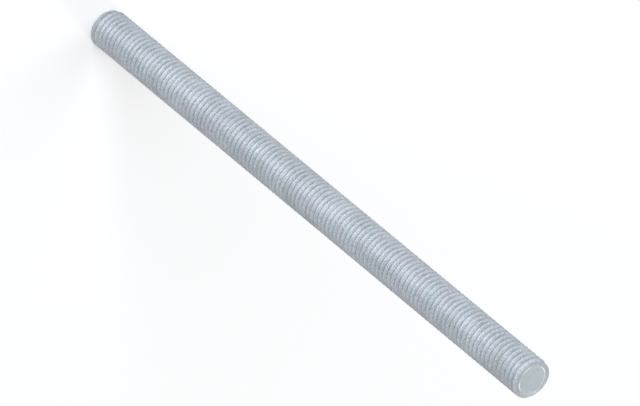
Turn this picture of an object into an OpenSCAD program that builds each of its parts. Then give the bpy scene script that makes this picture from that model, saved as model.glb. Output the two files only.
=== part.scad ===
// Threaded rod: one straight steel bar with a coarse thread along its whole length.
//
// The rod stands on one of its two like ends, with its axis along Z and the origin at
// the middle of the end face below. It is drawn as the envelope of its thread: a true
// cylinder at the diameter of the crests, with a true shallow cone and a flat face at
// each end. The helix between crest and root is finer than this solid goes.
// All sizes are in millimetres.

/* [Rod] */
// Length over all, from end face to end face
rod_length = 167.5; // [60:0.5:1000]

/* [Thread] */
// Major diameter, measured over the crests
thread_d = 10; // [8:0.5:16]
// Pitch, from one crest to the next
thread_pitch = 1.5; // [1:0.25:2]

/* [Ends] */
// How far the rim of an end face lies inside the thread's root
rim_inset = 0.48; // [0.1:0.01:1]
// Angle between the chamfer and the end face that it runs out from
chamfer_angle = 4; // [2:1:60]

/* [Hidden] */

// Depth of a 60 degree metric thread from crest to root, for each millimetre of pitch
thread_depth_ratio = 0.613435;

// Radius over the crests
crest_r = thread_d / 2;
// Radius left at the thread's root
root_r = crest_r - thread_depth_ratio * thread_pitch;
// Radius of the flat end face
face_r = root_r - rim_inset;
// Height of the cone that takes an end face out to the crests
chamfer_h = (crest_r - face_r) * tan(chamfer_angle);

// Number of sides in the preview of a round wall
round_fn = 96;

// Half of the rod's lengthwise section: one chamfer, the crests, the other chamfer
module section() {
    polygon([
        [0, 0],
        [face_r, 0],
        [crest_r, chamfer_h],
        [crest_r, rod_length - chamfer_h],
        [face_r, rod_length],
        [0, rod_length],
    ]);
}

module threaded_rod() {
    color([0.5, 0.54, 0.58])
        rotate_extrude($fn = round_fn)
            section();
}

threaded_rod();
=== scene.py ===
import math

import bpy
from mathutils import Matrix, Vector


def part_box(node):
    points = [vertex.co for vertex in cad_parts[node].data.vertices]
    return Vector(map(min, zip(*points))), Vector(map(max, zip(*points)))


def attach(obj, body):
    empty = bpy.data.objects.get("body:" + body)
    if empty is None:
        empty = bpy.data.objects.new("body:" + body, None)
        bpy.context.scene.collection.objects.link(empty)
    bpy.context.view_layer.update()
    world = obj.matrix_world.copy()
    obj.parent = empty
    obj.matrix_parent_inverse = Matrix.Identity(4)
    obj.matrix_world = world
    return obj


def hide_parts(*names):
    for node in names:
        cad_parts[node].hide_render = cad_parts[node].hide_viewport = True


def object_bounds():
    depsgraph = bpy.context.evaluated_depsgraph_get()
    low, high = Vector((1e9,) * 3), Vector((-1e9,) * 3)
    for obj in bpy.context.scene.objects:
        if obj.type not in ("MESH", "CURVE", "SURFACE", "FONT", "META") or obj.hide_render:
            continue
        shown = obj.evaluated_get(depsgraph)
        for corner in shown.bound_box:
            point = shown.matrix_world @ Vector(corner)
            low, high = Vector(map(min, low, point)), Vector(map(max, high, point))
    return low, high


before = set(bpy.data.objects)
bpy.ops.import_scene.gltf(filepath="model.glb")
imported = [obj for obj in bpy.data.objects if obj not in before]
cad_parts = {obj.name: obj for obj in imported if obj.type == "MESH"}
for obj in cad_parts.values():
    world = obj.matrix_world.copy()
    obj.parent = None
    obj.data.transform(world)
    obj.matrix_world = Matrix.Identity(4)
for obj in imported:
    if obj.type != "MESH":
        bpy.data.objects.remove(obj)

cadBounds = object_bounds()


# one output of a node; arithmetic on it adds Math nodes to the same tree
class Wire:
    def __init__(self, graph, node, output=0):
        self.graph = graph
        self.node = node
        self.socket = node.outputs[output] if node.outputs else None

    def out(self, name):
        return Wire(self.graph, self.node, name)

    def maths(self, operation, *values):
        return self.graph.add("ShaderNodeMath", {"operation": operation}, dict(enumerate(values)))

    def __add__(self, other):
        return self.maths("ADD", self, other)

    def __radd__(self, other):
        return self.maths("ADD", other, self)

    def __sub__(self, other):
        return self.maths("SUBTRACT", self, other)

    def __rsub__(self, other):
        return self.maths("SUBTRACT", other, self)

    def __mul__(self, other):
        return self.maths("MULTIPLY", self, other)

    def __rmul__(self, other):
        return self.maths("MULTIPLY", other, self)

    def __truediv__(self, other):
        return self.maths("DIVIDE", self, other)

    def __rtruediv__(self, other):
        return self.maths("DIVIDE", other, self)

    def floor(self):
        return self.maths("FLOOR", self)

    def ceil(self):
        return self.maths("CEIL", self)

    def fraction(self):
        return self.maths("FRACT", self)

    def magnitude(self):
        return self.maths("ABSOLUTE", self)

    def root(self):
        return self.maths("SQRT", self)

    def sine(self):
        return self.maths("SINE", self)

    def cosine(self):
        return self.maths("COSINE", self)

    def bearing(self, other):
        return self.maths("ARCTAN2", self, other)

    def below(self, other):
        return self.maths("LESS_THAN", self, other)

    # an ease rounds the corner where one value takes over from the other
    def atLeast(self, other, ease=0.0):
        if ease:
            return self.maths("SMOOTH_MAX", self, other, ease)
        return self.maths("MAXIMUM", self, other)

    def atMost(self, other, ease=0.0):
        if ease:
            return self.maths("SMOOTH_MIN", self, other, ease)
        return self.maths("MINIMUM", self, other)

    # 0 up to low, 1 from high on, eased between
    def ramp(self, low, high):
        return self.graph.add("ShaderNodeMapRange", {"interpolation_type": "SMOOTHSTEP"}, {
            "Value": self, "From Min": low, "From Max": high,
        })


# a node tree that is filled by name
class Graph:
    def __init__(self, tree):
        self.tree = tree

    def add(self, kind, settings=None, inputs=None, output=0):
        node = self.tree.nodes.new(kind)
        for name, value in (settings or {}).items():
            if name == "choices":  # how many an Index Switch has
                while len(node.index_switch_items) < value:
                    node.index_switch_items.new()
            else:
                setattr(node, name, value)
        for name, value in (inputs or {}).items():
            parts = value if isinstance(value, list) else [value]
            for part in parts:
                self.feed(node.inputs[name], part)
        return Wire(self, node, output)

    def feed(self, socket, value):
        if isinstance(value, Wire):
            self.tree.links.new(value.socket, socket)
        elif socket.type == "RGBA":
            socket.default_value = (*value, 1.0)
        else:
            socket.default_value = value


# the cleared nodes of a material or a world
def clearedGraph(owner):
    owner.use_nodes = True
    owner.node_tree.nodes.clear()
    return Graph(owner.node_tree)


def addObject(name, data):
    made = bpy.data.objects.new(name, data)
    bpy.context.scene.collection.objects.link(made)
    return made


# the thread, in metres and degrees, or in pitches where that is said;
# the rod's length, diameter and end cuts come from its CAD node
rod = {
    "pitch": 0.0015,
    "startTurn": 0.20,  # how far past the middle of a root +X is at the bottom, in turns
    "flankAngle": 30.0,  # between a flank and a plane square to the axis
    "rootRounding": 0.14434,  # radius of the arc in the root, in pitches
    "crestFlat": 0.125,  # width of the flat crest, in pitches
    "crestEase": 0.05,  # rounding between flank and crest, in pitches
    "arcRow": 0.58,  # place of a row of points between the root's middle and the arc's end
    "crestRows": 0.022,  # how far the rows at the crest's edge stand to each side, in pitches
    "columns": 80,  # points round one turn
    "endRows": 60,  # rows of points from the middle of an end out to the full thread
    "runIn": 0.0004,  # height of thread above the chamfer that belongs to the end
    "rimBand": 0.00025,  # width of the ring of flat face that has rows of points
    "rimEase": 0.00012,  # rounding between flat face and chamfer
    "cutEase": 0.00004,  # rounding between chamfer and thread
    "mergeGap": 2e-7,  # points closer than this are joined
    "readingSlack": 1e-5,  # how far off a face a point of the CAD node still counts as on it
}


def readBlank(node):
    low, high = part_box(node)
    points = [vertex.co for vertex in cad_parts[node].data.vertices]
    slack = rod["readingSlack"]
    crest = (high.x - low.x) / 2
    face = max(point.xy.length for point in points if point.z < low.z + slack)
    shoulder = min(point.z for point in points if point.xy.length > crest - slack)
    return {
        "length": high.z - low.z,
        "crestRadius": crest,
        "faceRadius": face,
        "chamferHeight": shoulder - low.z,
    }


# one thread in pitches, from the middle of its root: an arc, a straight flank, a flat crest
def threadProfile():
    flank = math.radians(rod["flankAngle"])
    slope = 1 / math.tan(flank)
    arcEnd = rod["rootRounding"] * math.cos(flank)
    arcRise = rod["rootRounding"] * (1 - math.sin(flank))
    crestEdge = (1 - rod["crestFlat"]) / 2
    half = [
        arcEnd * rod["arcRow"],
        arcEnd,
        crestEdge - rod["crestRows"],
        crestEdge + rod["crestRows"],
    ]
    return {
        "slope": slope,
        "arcEnd": arcEnd,
        "arcRise": arcRise,
        "depth": arcRise + (crestEdge - arcEnd) * slope,
        "rows": [0.0] + half + [1 - place for place in reversed(half)],
    }


def threadTree(profile):
    tree = bpy.data.node_groups.new("rolledThread", "GeometryNodeTree")
    graph = Graph(tree)
    sockets = {}
    for name, kind in [
        ("Length", "Float"), ("Crest Radius", "Float"), ("Face Radius", "Float"),
        ("Chamfer Height", "Float"), ("Pitch", "Float"), ("Start Turn", "Float"),
        ("Columns", "Int"), ("Material", "Material"),
    ]:
        socket = tree.interface.new_socket(name, in_out="INPUT", socket_type="NodeSocket" + kind)
        sockets[name] = socket.identifier
    tree.interface.new_socket("Rod", in_out="OUTPUT", socket_type="NodeSocketGeometry")
    given = graph.add("NodeGroupInput")
    length, crest, face = given.out("Length"), given.out("Crest Radius"), given.out("Face Radius")
    chamfer, pitch = given.out("Chamfer Height"), given.out("Pitch")
    start, columns = given.out("Start Turn"), given.out("Columns")

    # how far out the thread's surface lies; away is how far the nearest root is, in pitches
    def threadRadius(height, turn):
        place = height / pitch - turn + start
        away = 0.5 - (place.fraction() - 0.5).magnitude()
        rounding = rod["rootRounding"]
        arc = rounding - (rounding * rounding - away * away).atLeast(0.0).root()
        flank = (away - profile["arcEnd"]) * profile["slope"] + profile["arcRise"]
        inRoot = away.below(profile["arcEnd"])
        rise = arc * inRoot + flank.atMost(profile["depth"], rod["crestEase"]) * (1 - inRoot)
        return crest - (profile["depth"] - rise) * pitch

    def grid(rows):
        made = graph.add("GeometryNodeMeshGrid", None, {
            "Size X": columns, "Size Y": rows - 1, "Vertices X": columns + 1, "Vertices Y": rows,
        })
        place = graph.add("GeometryNodeInputPosition")
        across = graph.add("ShaderNodeSeparateXYZ", None, {0: place})
        column = across.out("X") + columns / 2
        row = (across.out("Y") + (rows - 1) / 2 + 0.5).floor()
        return made, column / columns, row

    def bend(mesh, turn, radius, height):
        angle = turn * math.tau
        place = graph.add("ShaderNodeCombineXYZ", None, {
            "X": radius * angle.cosine(), "Y": radius * angle.sine(), "Z": height,
        })
        return graph.add("GeometryNodeSetPosition", None, {"Geometry": mesh, "Position": place})

    # full thread, in rows that climb with it and stop at a level ring at each end
    places = profile["rows"]
    firstRing = chamfer + rod["runIn"]
    lastRing = length - firstRing
    firstTurn = (firstRing / pitch + start - 1).floor()
    lastTurn = (lastRing / pitch + start).ceil()
    body, turn, row = grid((lastTurn - firstTurn) * len(places) + 1)
    wholeTurns = (row / len(places)).floor()
    step = graph.add("GeometryNodeIndexSwitch", {"data_type": "FLOAT", "choices": len(places)}, {
        "Index": row - wholeTurns * len(places),
        **{str(number): place for number, place in enumerate(places)},
    })
    climb = wholeTurns + step + firstTurn + turn - start
    height = (climb * pitch).atLeast(firstRing).atMost(lastRing)
    parts = [bend(body, turn, threadRadius(height, turn), height)]

    # each end: flat face, eased rim, chamfer, and the thread that the chamfer cuts
    slant = (chamfer * chamfer + (crest - face) * (crest - face)).root()
    upSlant = chamfer / slant
    outSlant = (crest - face) / slant
    for isTop in (False, True):
        end, turn, row = grid(rod["endRows"])
        reach = firstRing / upSlant + rod["rimBand"]
        along = (row - 1) * reach / (rod["endRows"] - 2) - rod["rimBand"]
        along = (along - row.below(0.5) * face).atLeast(0 - face)  # row 0 is the middle
        past = along.atLeast(0.0, rod["rimEase"])
        cap = face + along - past * (1 - outSlant)
        height = past * upSlant
        if isTop:
            height = length - height
        radius = threadRadius(height, turn).atMost(cap, rod["cutEase"]).atLeast(0.0)
        shell = bend(end, turn, radius, height)
        if isTop:
            shell = graph.add("GeometryNodeFlipFaces", None, {"Mesh": shell})
        parts.append(shell)

    joined = graph.add("GeometryNodeJoinGeometry", None, {"Geometry": parts})
    closed = graph.add("GeometryNodeMergeByDistance", None, {
        "Geometry": joined, "Distance": rod["mergeGap"],
    })
    smooth = graph.add("GeometryNodeSetShadeSmooth", None, {"Geometry": closed, "Shade Smooth": True})
    real = graph.add("GeometryNodeRealizeInstances", None, {"Geometry": smooth})
    painted = graph.add("GeometryNodeSetMaterial", None, {
        "Geometry": real, "Material": given.out("Material"),
    })
    graph.add("NodeGroupOutput", None, {"Rod": painted})
    return tree, sockets


def bakeTree(name, tree, values):
    holder = addObject("holder", bpy.data.meshes.new("holder"))
    modifier = holder.modifiers.new("shape", "NODES")
    modifier.node_group = tree
    for identifier, value in values.items():
        modifier[identifier] = value
    evaluated = holder.evaluated_get(bpy.context.evaluated_depsgraph_get())
    mesh = bpy.data.meshes.new_from_object(evaluated)
    mesh.name = name
    holder.modifiers.remove(modifier)
    piece = addObject(name, mesh)
    bpy.data.objects.remove(holder)
    return piece


# zinc plate over rolled steel, a little darker and smoother where the ends were cut;
# widths and patches in metres, and marks by how many there are in a metre
zinc = {
    # colours: the plate's two tints, the two parts of a cut end, and a painted highlight for its rim
    "warm": (0.505, 0.531, 0.579),
    "cool": (0.493, 0.537, 0.566),
    "disc": (0.459, 0.498, 0.514),
    "ring": (0.455, 0.480, 0.500),
    "rim": (0.76, 0.77, 0.79),
    "edge": (0.05, 0.05, 0.05),  # what is mirrored at a slant
    "metallic": 0.43,
    # the thread: painted shade darkening its root, with grain, broad patches and streaks that follow it
    "rootShadeBand": 0.4,  # share of the thread's depth
    "rootPaintedShade": 0.90,
    "crestTone": 1.01,
    "tintPatch": 0.0045,
    "tintRange": (0.35, 0.65),
    "tonePatch": 0.006,
    "toneDepth": 0.45,
    "grain": 0.00045,
    "grainDepth": 0.9,
    "streaks": 14.0,  # in one pitch
    "streakBreaks": (700.0, 300.0),  # across the rod and along it
    "streakDepth": 0.25,
    # the cut ends: turning marks on the ring, saw marks on the disc
    "ringEdge": (0.00001, 0.00005),  # depths under the cut over which it fades out
    "discEdge": (0.000005, 0.00002),
    "turningMarks": 9000.0,
    "sawMarks": 4500.0,
    "sawSlant": 500.0,
    "markBreaks": 300.0,
    "markDepth": 0.25,
    "cutGrainDepth": 0.3,
    "cutToneDepth": 0.2,
    # the rim between them, where a painted highlight runs along the edge in patches
    "highlightPatches": 290.0,
    "highlightRange": (0.36, 0.62),
    "rimWidth": 0.00006,  # to each side of the edge
    "rimWear": 0.00016,  # added to it where the painted highlight is strongest
    "rimFade": (0.5, 1.0),  # shares of that width
    "rimLeast": 0.15,  # how much of the painted highlight shows between its patches
    # how dull each part is, and how deep its marks stand
    "roughness": 0.46,
    "rootRoughness": 0.62,
    "cutRoughness": 0.40,
    "grainRoughness": 0.3,
    "markRoughness": 0.2,
    "bump": 0.00006,
}


def zincPlate(blank, profile):
    material = bpy.data.materials.new("zincPlate")
    graph = clearedGraph(material)
    place = graph.add("ShaderNodeTexCoord").out("Object")
    across = graph.add("ShaderNodeSeparateXYZ", None, {0: place})
    x, y, z = across.out("X"), across.out("Y"), across.out("Z")
    radius = (x * x + y * y).root()
    crest, face = blank["crestRadius"], blank["faceRadius"]
    depth = rod["pitch"] * profile["depth"]

    def noise(vector, scale=1.0, detail=2.0):
        return graph.add("ShaderNodeTexNoise", None, {
            "Vector": vector, "Scale": scale, "Detail": detail,
        })

    def stretched(alongX, alongY, alongZ):
        return graph.add("ShaderNodeCombineXYZ", None, {"X": alongX, "Y": alongY, "Z": alongZ})

    def mixed(amount, first, second):
        return graph.add("ShaderNodeMix", {"data_type": "RGBA"}, {0: amount, 6: first, 7: second}, 2)

    def scaled(colour, amount):
        return graph.add("ShaderNodeVectorMath", {"operation": "SCALE"}, {0: colour, "Scale": amount})

    # how far up the thread a point lies, and whether a cut laid it bare
    climb = ((radius - crest + depth) / depth).ramp(0.0, zinc["rootShadeBand"])
    fromEnd = z.atMost(blank["length"] - z)
    cap = fromEnd * ((crest - face) / blank["chamferHeight"]) + face
    onRing = 1 - (cap - radius).ramp(*zinc["ringEdge"])
    onDisc = 1 - fromEnd.ramp(*zinc["discEdge"])
    cut = onRing.atLeast(onDisc)

    # grain, broad patches, streaks that run round with the thread, and painted shade darkening the root
    grain = noise(place, 1 / zinc["grain"], detail=3.0) - 0.5
    tone = noise(place, 1 / zinc["tonePatch"], detail=4.0) - 0.5
    tint = noise(place, 1 / zinc["tintPatch"], detail=1.0).ramp(*zinc["tintRange"])
    phase = (z / rod["pitch"] - y.bearing(x) / math.tau + rod["startTurn"]).fraction()
    breaksAcross, breaksAlong = zinc["streakBreaks"]
    streak = noise(stretched(
        x * breaksAcross + phase * zinc["streaks"], y * breaksAcross, z * breaksAlong,
    )) - 0.5
    # painted shade: the colour darkens from crest down into the root, where shade falls between the
    # threads
    paintedShadeAndGrain = climb * (zinc["crestTone"] - zinc["rootPaintedShade"]) + zinc["rootPaintedShade"]
    paintedShadeAndGrain = paintedShadeAndGrain + streak * zinc["streakDepth"] + grain * zinc["grainDepth"] + tone * zinc["toneDepth"]
    plate = scaled(mixed(tint, zinc["warm"], zinc["cool"]), paintedShadeAndGrain)

    # turning marks on the ring, saw marks on the disc, and a painted highlight on the rim between the
    # two
    breaks = zinc["markBreaks"]
    turned = noise(stretched(x * breaks, y * breaks, radius * zinc["turningMarks"])) - 0.5
    sawn = noise(stretched(
        x * zinc["sawSlant"] + y * zinc["sawMarks"], y * breaks, z * breaks,
    )) - 0.5
    marks = turned + onDisc * (sawn - turned)
    highlightAmount = noise(place, zinc["highlightPatches"], detail=4.0).ramp(*zinc["highlightRange"])
    offRim = (radius - face).magnitude() / (highlightAmount * zinc["rimWear"] + zinc["rimWidth"])
    shine = zinc["rimLeast"] + (1 - zinc["rimLeast"]) * highlightAmount
    # painted highlight: a bright line along the edge between disc and ring, broken into patches
    rim = (1 - offRim.ramp(*zinc["rimFade"])) * shine * cut
    bareShade = (
        1 + marks * zinc["markDepth"] + grain * zinc["cutGrainDepth"] + tone * zinc["cutToneDepth"]
    )
    bare = scaled(mixed(onDisc, zinc["ring"], zinc["disc"]), bareShade)
    colour = mixed(cut, plate, mixed(rim, bare, zinc["rim"]))

    rough = zinc["rootRoughness"] + climb * (zinc["roughness"] - zinc["rootRoughness"])
    rough = rough + grain * zinc["grainRoughness"]
    rough = rough + cut * (zinc["cutRoughness"] + marks * zinc["markRoughness"] - rough)
    height = grain + streak + cut * (marks - streak)
    bump = graph.add("ShaderNodeBump", None, {
        "Strength": 1.0, "Distance": zinc["bump"], "Height": height,
    }, "Normal")
    shader = graph.add("ShaderNodeBsdfPrincipled", None, {
        "Base Color": colour, "Roughness": rough, "Metallic": zinc["metallic"],
        "Specular IOR Level": 0.0, "Specular Tint": zinc["edge"], "Normal": bump,
    })
    graph.add("ShaderNodeOutputMaterial", None, {"Surface": shader})
    print("zinc plate:", len(material.node_tree.nodes), "nodes")
    return material


def makeRod():
    blank = readBlank("threaded_rod")
    profile = threadProfile()
    tree, sockets = threadTree(profile)
    piece = bakeTree("rolledThread", tree, {
        sockets["Length"]: blank["length"],
        sockets["Crest Radius"]: blank["crestRadius"],
        sockets["Face Radius"]: blank["faceRadius"],
        sockets["Chamfer Height"]: blank["chamferHeight"],
        sockets["Pitch"]: rod["pitch"],
        sockets["Start Turn"]: rod["startTurn"],
        sockets["Columns"]: rod["columns"],
        sockets["Material"]: zincPlate(blank, profile),
    })
    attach(piece, "root")
    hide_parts("threaded_rod")
    print("rod:", len(piece.data.polygons), "faces")


# floor, lamps and the sky round them
studio = {
    "floorSize": 60.0,
    "floorColour": (0.81, 0.795, 0.78),
    "floorRoughness": 0.9,
    "floorGlow": 0.31,
    "glowStart": 0.2,  # distances from the rod
    "glowFull": 1.6,
    "skyStrength": 1.0,  # as the camera sees it
    "skyLight": 0.345,  # as it lights the rod
    "lamps": [
        {
            "name": "front", "place": (-0.36, -1.5, 1.2), "size": 1.4,
            "watts": 21.8, "colour": (0.92, 0.98, 1.05),
        },
        {
            "name": "overhead", "place": (-0.7, 0.1, 1.6), "size": 1.0,
            "watts": 5.4, "colour": (0.95, 0.98, 1.03),
        },
        {
            "name": "back", "place": (0.2, 1.7, 0.35), "size": 0.6,
            "watts": 14.0, "colour": (0.97, 0.99, 1.02),
        },
    ],
}


# 1 where the camera sees a surface itself, or mirrored, or through glass
def seenDirectly(graph):
    path = graph.add("ShaderNodeLightPath")
    seen = path.out("Is Camera Ray").atLeast(path.out("Is Glossy Ray"))
    return seen.atLeast(path.out("Is Transmission Ray"))


def makeFloor():
    mesh = bpy.data.meshes.new("floor")
    half = studio["floorSize"] / 2
    corners = [(-half, -half, 0), (half, -half, 0), (half, half, 0), (-half, half, 0)]
    mesh.from_pydata(corners, [], [(0, 1, 2, 3)])
    floor = addObject("floor", mesh)
    material = bpy.data.materials.new("paleFloor")
    graph = clearedGraph(material)
    place = graph.add("ShaderNodeTexCoord").out("Object")
    far = graph.add("ShaderNodeVectorMath", {"operation": "LENGTH"}, {0: place}, "Value")
    fade = far.ramp(studio["glowStart"], studio["glowFull"])  # makes up for the lamps' fall-off
    glow = studio["floorGlow"] + (1 - studio["floorGlow"]) * fade
    shader = graph.add("ShaderNodeBsdfPrincipled", None, {
        "Base Color": studio["floorColour"], "Roughness": studio["floorRoughness"],
        "Specular IOR Level": 0.0, "Emission Color": seenDirectly(graph) * glow,
        "Emission Strength": 1.0,
    })
    graph.add("ShaderNodeOutputMaterial", None, {"Surface": shader})
    mesh.materials.append(material)
    print("floor:", studio["floorSize"], "m wide")


def makeSky():
    world = bpy.data.worlds.new("sky")
    graph = clearedGraph(world)
    strength = seenDirectly(graph) * (studio["skyStrength"] - studio["skyLight"]) + studio["skyLight"]
    sky = graph.add("ShaderNodeBackground", None, {"Color": (1, 1, 1), "Strength": strength})
    graph.add("ShaderNodeOutputWorld", None, {"Surface": sky})
    bpy.context.scene.world = world
    bpy.context.scene.view_settings.view_transform = "Standard"
    print("sky: white, lighting the rod at", studio["skyLight"])


def makeLamp(lamp, aim):
    data = bpy.data.lights.new(lamp["name"], "AREA")
    data.shape = "DISK"
    data.size = lamp["size"]
    data.energy = lamp["watts"]
    data.color = lamp["colour"]
    holder = addObject(lamp["name"], data)
    place = Vector(lamp["place"])
    turn = (place - aim).to_track_quat("Z", "Y").to_matrix().to_4x4()
    holder.matrix_world = Matrix.Translation(place) @ turn
    print("lamp:", lamp["name"], lamp["watts"], "W")


# the camera looks down at the standing rod, rolled so that the rod lies across its frame
view = {
    "elevation": 40.34,
    "roll": -129.67,
    "distance": 2.233,
    "fieldWidth": 0.14814,  # how much it takes in at the rod
    "sensor": 36.0,
    "aside": -0.00014,  # its aim, from the rod's middle
    "aboveMiddle": 0.00193,
    "farClip": 200.0,
}


def makeCamera(middle):
    data = bpy.data.cameras.new("camera")
    data.sensor_width = view["sensor"]
    data.lens = view["sensor"] * view["distance"] / view["fieldWidth"]
    data.clip_end = view["farClip"]
    camera = addObject("camera", data)
    tilt = math.radians(90 - view["elevation"])
    roll = math.radians(-view["roll"])
    turn = Matrix.Rotation(tilt, 4, "X") @ Matrix.Rotation(roll, 4, "Z")
    back = turn.to_3x3() @ Vector((0, 0, view["distance"]))
    turn.translation = middle + Vector((view["aside"], 0, view["aboveMiddle"])) + back
    camera.matrix_world = turn
    bpy.context.scene.camera = camera
    print("camera: lens", round(data.lens), "mm, at", [round(part, 3) for part in turn.translation])


middle = Vector((0, 0, (cadBounds[0][2] + cadBounds[1][2]) / 2))
makeRod()
makeFloor()
makeSky()
for lamp in studio["lamps"]:
    makeLamp(lamp, middle)
makeCamera(middle)
